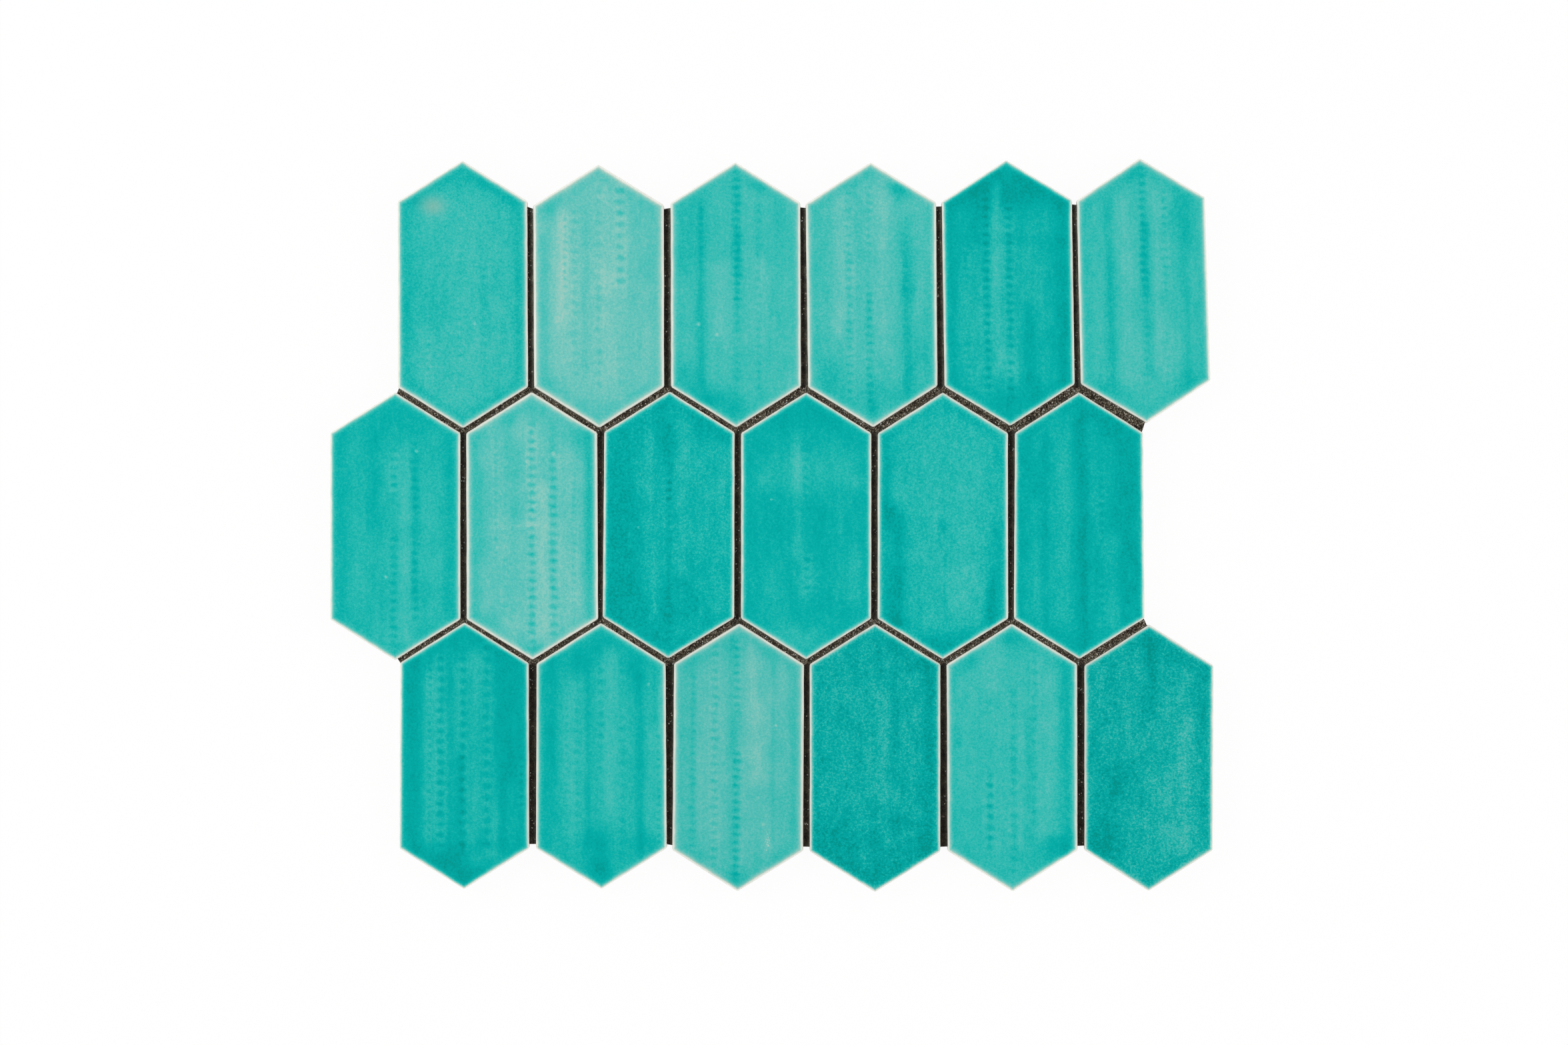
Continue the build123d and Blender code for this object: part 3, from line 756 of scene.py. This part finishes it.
def paint_glaze(mesh, recipe, u, v, z):
    """Lays the glaze of one tile: its depth, grain and painted shade, its dashes, its wear and its rim."""
    deep, body, pale = recipe["tones"]
    change = np.zeros_like(u)
    for place, half, low, high, amount in recipe["bands"]:
        change += amount * np.exp(-(((u - place) / half) ** 2)) * run(low, high, v)
    for patch in recipe["patches"]:
        change += patch[4] * blob(patch, u, v)
    edge = to_outline(u, v)
    change += border_strength * recipe["border"] * np.exp(-(((edge - border_inset) / border_width) ** 2))
    depth = body + np.where(change > 0, change * (deep - body), change * (body - pale))
    set_vectors(mesh, "glaze", np.clip(depth, 0, 1), recipe["grain"], recipe.get("painted_shade", 1.0))

    across = np.full_like(u, off_column)
    along = np.zeros_like(u)
    strength = np.zeros_like(u)
    for place, half, low, high, amount in recipe.get("columns", ()):
        from_column = (u - place) / half
        here = amount * run(low, high, v, 2.0) * smooth(2.4, 1.4, np.abs(from_column))
        nearer = here > strength
        across = np.where(nearer, from_column, across)
        if abs(place) > outer_column:
            pitch = outer_pitch
        elif recipe["pitch"] > one_way_pitch:
            pitch = recipe["pitch"] * (1 + pitch_spread * place)
        else:
            pitch = recipe["pitch"] * (1 + pitch_spread * abs(place))
        along = np.where(nearer, (v - first_dash + dash_slope * u) / pitch, along)
        strength = np.where(nearer, here, strength)
    set_vectors(mesh, "dash", across, along, strength)

    speck = np.full_like(u, off_speck)
    for place_u, place_v, radius in recipe.get("specks", ()):
        speck = np.minimum(speck, np.hypot(u - place_u, v - place_v) / radius)
    scuff = recipe["scuff"][4] * blob(recipe["scuff"], u, v) if "scuff" in recipe else 0.0
    peach = peach_strength * blob(recipe["peach"], u, v) if "peach" in recipe else 0.0
    set_vectors(mesh, "wear", speck, scuff, peach)
    arris_foot = tile_thickness - arris_width
    set_vectors(mesh, "rim", np.where(z > arris_foot, edge, z - arris_foot), 0.0, 0.0)


def lay_tile(blank, row, column, material):
    """Shapes one tile from the blank, glazes it, and lays it in its place in the sheet."""
    node = f"tile_{row}_{column + 1}"
    mesh = blank.copy()
    mesh.name = f"glazed_{node}"
    points = points_of(mesh)
    u, v, z = points[:, 0].copy(), points[:, 1].copy(), points[:, 2].copy()
    paint_glaze(mesh, glazes[row, column], u, v, z)

    # The face is cushioned at its edge, and waves a little, and its outline wanders, as pressed clay does
    seed = 40 * rows.index(row) + 7 * column
    edge = np.maximum(to_outline(u, v), 0)
    top = smooth(*uneven_between, z)
    wave = np.array([uneven(x, y, 19, 26, seed) for x, y in zip(u, v)])
    wander = np.array([uneven(x, y, 9, 9, seed + 3.5) for x, y in zip(u, v)])
    z -= top * (cushion_drop * np.exp(-edge / cushion_width) + wave_depth * (1 + wave))
    near = top * np.exp(-edge / wander_reach)

    # Its own size, lean and place. Below the grout it is a hair wider, so that no light gets past it
    u, v = to_sheet(row, column, u, v)
    low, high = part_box(node)
    walls = (z < 7.0) & (z > -0.1)
    middle = [(low[axis] + high[axis]) / 2 / metres for axis in (0, 1)]
    middle[0] -= (u[walls].min() + u[walls].max()) / 2
    middle[1] -= (v[walls].min() + v[walls].max()) / 2
    swell = 1 + hidden_swell * smooth(7.6, 7.2, z)
    points[:, 0] = (middle[0] + u * swell + side_wander * wander * near * np.sign(u)) * metres
    points[:, 1] = (middle[1] + v * swell + point_wander * wander * near * np.sign(v)) * metres
    points[:, 2] = (z + net_thickness) * metres
    mesh.vertices.foreach_set("co", points.ravel())
    mesh.update()
    finished(f"glazed_{node}", mesh, material, node)
    return middle


def own_shape(row, column):
    """How a tile differs from a plain one: its width and its widening as shares, and its lean."""
    width = 1 + wider_by[row][column] / tile_width
    return width, foot_widening[row][column] / (2 * tile_width), radians(lean_left[row][column])


def to_sheet(row, column, u, v):
    """Points on a plain tile, moved to its own size and turned by its lean."""
    width, widening, lean = own_shape(row, column)
    across = u * (width - widening * np.clip(v / shoulder, -1, 1))
    up = v + longer_by[row][column] / 2 * np.clip(v / shoulder, -1, 1)
    return across * cos(lean) - up * sin(lean), across * sin(lean) + up * cos(lean)


def tile_distances(middles, x, y):
    """How far each point lies inside every tile's outline, one row for each tile."""
    distances = []
    for (row, column), middle in middles.items():
        width, widening, lean = own_shape(row, column)
        right, up = x - middle[0], y - middle[1]
        across, up = right * cos(lean) + up * sin(lean), up * cos(lean) - right * sin(lean)
        longer = longer_by[row][column] / 2
        v = up - np.clip(up / (shoulder + longer), -1, 1) * longer
        u = across / (width - widening * np.clip(v / shoulder, -1, 1))
        distances.append(to_outline(u, v))
    return np.array(distances)


# Grout

def cut_to(mesh, node, taller):
    """The part of a mesh that lies inside a CAD node.

    A function, taller, moves the node's heights first, so that its top and foot cut nothing off.
    """
    cad = bmesh.new()
    cad.from_mesh(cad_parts[node].data)
    bmesh.ops.remove_doubles(cad, verts=cad.verts[:], dist=1e-7)
    for vert in cad.verts:
        vert.co.z = taller(vert.co.z)
    cutter = new_object("cutter", mesh_from(cad, "cutter"))
    piece = new_object("cut_piece", mesh)
    cut = piece.modifiers.new("cut", "BOOLEAN")
    cut.operation = "INTERSECT"
    cut.solver = "MANIFOLD"
    cut.object = cutter
    graph = bpy.context.evaluated_depsgraph_get()
    result = bpy.data.meshes.new_from_object(piece.evaluated_get(graph))
    cutter_mesh = cutter.data
    for spent in (piece, cutter):
        bpy.data.objects.remove(spent)
    for spent in (mesh, cutter_mesh):
        bpy.data.meshes.remove(spent)
    return result


def grout_mesh(middles):
    """The grout: a gritty trough in every joint, fitted between the tiles by the shape of its CAD node."""
    low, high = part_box("grout")
    low = [value / metres for value in low]
    high = [value / metres for value in high]
    bm = bmesh.new()
    across = int((high[0] - low[0]) / grout_cell) + 3
    up = int((high[1] - low[1]) / grout_cell) + 3
    bmesh.ops.create_grid(bm, x_segments=across, y_segments=up, size=0.5)
    bmesh.ops.scale(bm, vec=(across * grout_cell, up * grout_cell, 1), verts=bm.verts[:])
    middle = Vector(((low[0] + high[0]) / 2, (low[1] + high[1]) / 2, 0))
    bmesh.ops.translate(bm, vec=middle, verts=bm.verts[:])

    # Only the cells near a joint are kept, and each is cut in eight both ways
    centres = np.array([face.calc_center_median()[:2] for face in bm.faces])
    inside = np.sort(tile_distances(middles, centres[:, 0], centres[:, 1]), axis=0)
    kept = (inside[-1] < 1.9) & (inside[-2] > -4.5)
    away = [face for face, keep in zip(bm.faces, kept) if not keep]
    bmesh.ops.delete(bm, geom=away, context="FACES")
    bmesh.ops.subdivide_edges(bm, edges=bm.edges[:], cuts=7, use_grid_fill=True)
    places = np.array([vert.co[:2] for vert in bm.verts])
    inside = tile_distances(middles, places[:, 0], places[:, 1]).max(axis=0)
    bank = np.clip((trough_bank + inside) / trough_bank, 0, 1)
    for vert, rise in zip(bm.verts, bank):
        x, y = vert.co.x, vert.co.y
        grit = grit_height * uneven(x, y, grit_size, grit_size, 1.0)
        grit += lump_height * uneven(x, y, lump_size, lump_size, 5.0)
        vert.co.z = bank_top - trough_depth * (1 - rise ** trough_curve) + grit

    # Walls and a foot below the sheet's back close the mesh, so that it can be cut to its node
    rim = [edge for edge in bm.edges if edge.is_boundary]
    walls = bmesh.ops.extrude_edge_only(bm, edges=rim)["geom"]
    for item in walls:
        if isinstance(item, bmesh.types.BMVert):
            item.co.z = -1.0
    foot_edges = [edge for edge in bm.edges if edge.is_boundary]
    bmesh.ops.triangle_fill(bm, edges=foot_edges, use_beauty=False)
    bmesh.ops.recalc_face_normals(bm, faces=bm.faces[:])
    bmesh.ops.scale(bm, vec=(metres, metres, metres), verts=bm.verts[:])
    over_grit = 9.2 * metres
    mesh = cut_to(mesh_from(bm, "dark_grout"), "grout", lambda z: over_grit if z > 7.0 * metres else z)

    # Where the joint slants, its two nearest tiles lie in different rows. It is sandy there
    points = points_of(mesh) / metres
    inside = tile_distances(middles, points[:, 0], points[:, 1])
    second, nearest = np.argsort(inside, axis=0)[-2:] // tiles_in_row
    slanted = nearest != second
    places = np.array(list(middles.values()))
    # Painted light: a pale band along each joint's right side, fading away from the tile on its right,
    # strongest in the top row's upright joints
    to_right = np.where(places[:, 0, None] > points[:, 0], inside, -99).max(axis=0)
    painted_light = np.clip(1 + to_right / painted_light_width, 0, 1) ** painted_light_fade
    painted_light *= np.where(slanted, painted_light_in_slants, np.array(painted_light_in_rows)[nearest])
    set_vectors(mesh, "sand_and_painted_light", slanted, painted_light, 0.0)
    mesh.polygons.foreach_set("use_smooth", np.ones(len(mesh.polygons), dtype=bool))
    mesh.set_sharp_from_angle(angle=radians(50))
    return mesh


# Net

def net_strand(length, direction):
    """One flat strand along X that goes over and under its neighbours, from its left end on."""
    crossings = int(length * 2 / net_pitch)
    lengths = 2 * crossings - 1
    strand = bmesh.new()
    bmesh.ops.create_grid(strand, x_segments=lengths, y_segments=1, size=0.5)
    for vert in strand.verts:
        step = round((vert.co.x + 0.5) * lengths)
        side = 1 if step % 2 else -1
        over = 1 if (step // 2 + direction) % 2 else -1
        vert.co.x = -length + (step // 2) * net_pitch + side * crossing_half
        vert.co.y *= strand_width
        vert.co.z = net_thickness / 2 + over * strand_lift + strand_thickness / 2
    bmesh.ops.recalc_face_normals(strand, faces=strand.faces[:])
    if strand.faces[:][0].normal.z < 0:
        bmesh.ops.reverse_faces(strand, faces=strand.faces[:])
    bmesh.ops.solidify(strand, geom=strand.faces[:], thickness=strand_thickness)
    return mesh_from(strand, "strand")


def net_mesh():
    """The net: flat glass strands every 5 mm, each over one neighbour and under the next."""
    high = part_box("backing_net")[1]
    reach = [high[axis] / metres + 2 * net_pitch for axis in (0, 1)]
    bm = bmesh.new()
    layer = bm.verts.layers.float_vector.new("yarn")
    for direction in (0, 1):
        strand = net_strand(reach[direction], direction)
        for index in range(int(reach[1 - direction] * 2 / net_pitch)):
            before = len(bm.verts)
            bm.from_mesh(strand)
            bm.verts.ensure_lookup_table()
            for vert in bm.verts[before:]:
                vert[layer] = (vert.co.y, vert.co.x, index)
                x = vert.co.x + (net_pitch if index % 2 else 0)
                y = vert.co.y - reach[1 - direction] + index * net_pitch
                vert.co.x, vert.co.y = (x, y) if direction == 0 else (y, x)
        bpy.data.meshes.remove(strand)
    for vert in bm.verts:
        x, y = vert.co.x, vert.co.y
        vert.co.x += net_stray * uneven(x, y, 60, 60, 2.0)
        vert.co.y += net_stray * uneven(x, y, 60, 60, 8.0)
    bmesh.ops.recalc_face_normals(bm, faces=bm.faces[:])
    bmesh.ops.scale(bm, vec=(metres, metres, metres), verts=bm.verts[:])
    spare = 0.2 * metres
    woven = mesh_from(bm, "glass_net")
    return cut_to(woven, "backing_net", lambda z: z + spare if z > spare else z - spare)


glaze = glaze_material()
blank = tile_blank()
middles = {}
for row in rows:
    for column in range(tiles_in_row):
        middles[row, column] = lay_tile(blank, row, column, glaze)
bpy.data.meshes.remove(blank)
finished("tooled_grout", grout_mesh(middles), grout_material(), "grout")
finished("woven_net", net_mesh(), net_material(), "backing_net")

# Floor: white to the camera, and it keeps the soft shadow of the sheet
floor_material, tree = new_material("white_studio_floor")
rays = add(tree, "LightPath").outputs
seen = rays["Is Camera Ray"]
for ray in ("Is Glossy Ray", "Is Transmission Ray"):
    seen = add(tree, "Math", {0: seen, 1: rays[ray]}, operation="MAXIMUM")
seen = add(tree, "Math", {0: seen, 1: 0.95}, operation="MULTIPLY")
matte = add(tree, "BsdfDiffuse", {0: linear("#F4F4F4")})
white = add(tree, "Emission", {0: (1, 1, 1, 1), 1: 1.0})
mixed = add(tree, "MixShader", {0: seen, 1: matte, 2: white})
add(tree, "OutputMaterial", {0: mixed})
bm = bmesh.new()
bmesh.ops.create_grid(bm, x_segments=1, y_segments=1, size=3.0)
bmesh.ops.translate(bm, vec=(0, 0, -0.2 * metres), verts=bm.verts[:])
floor = new_object("studio_floor", mesh_from(bm, "studio_floor"))
floor.data.materials.append(floor_material)

# World: white behind the sheet. As light it is dim overhead, so that the face's gloss doesn't wash
# out the glaze from above, and bright near the horizon, where the gloss shows from the side
world = bpy.data.worlds.new("studio")
bpy.context.scene.world = world
world.use_nodes = True
tree = world.node_tree
tree.nodes.clear()
seen = add(tree, "LightPath").outputs["Is Camera Ray"]
direction = add(tree, "TexCoord").outputs["Generated"]
height = add(tree, "SeparateXYZ", {0: direction}).outputs[2]
sky = add(tree, "MapRange", {0: height, 1: 0.95, 2: 0.6, 3: 0.02, 4: 1.27},
          interpolation_type="SMOOTHSTEP")
light = add(tree, "Background", {0: (1, 1, 1, 1), 1: sky})
white = add(tree, "Background", {0: (1, 1, 1, 1), 1: 1.0})
mixed = add(tree, "MixShader", {0: seen, 1: light, 2: white})
add(tree, "OutputWorld", {0: mixed})

# Lamps: two large soft boxes, the stronger one on the left
softboxes = {"left_softbox": ((-1.25, 0.35, 1.0), 6.6), "right_softbox": ((1.25, -0.2, 1.1), 5.2)}
for name, (place, power) in softboxes.items():
    lamp = bpy.data.lights.new(name, "AREA")
    lamp.shape = "SQUARE"
    lamp.size = 0.9
    lamp.energy = power
    holder = new_object(name, lamp)
    holder.location = place
    holder.rotation_euler = Vector(place).to_track_quat("Z", "Y").to_euler()

# Camera: straight above, where the 2352 pixels across see 588 mm at the face of the tiles
camera_height = 6.0
width_seen = 0.588
view_middle = (0.00458, 0.00099)
camera = bpy.data.cameras.new("camera")
camera.sensor_width = 36
camera.lens = camera.sensor_width * camera_height / width_seen
camera.clip_end = 50
viewer = new_object("camera", camera)
viewer.location = (*view_middle, camera_height + (net_thickness + tile_thickness) * metres)
bpy.context.scene.camera = viewer
bpy.context.scene.view_settings.view_transform = "Standard"
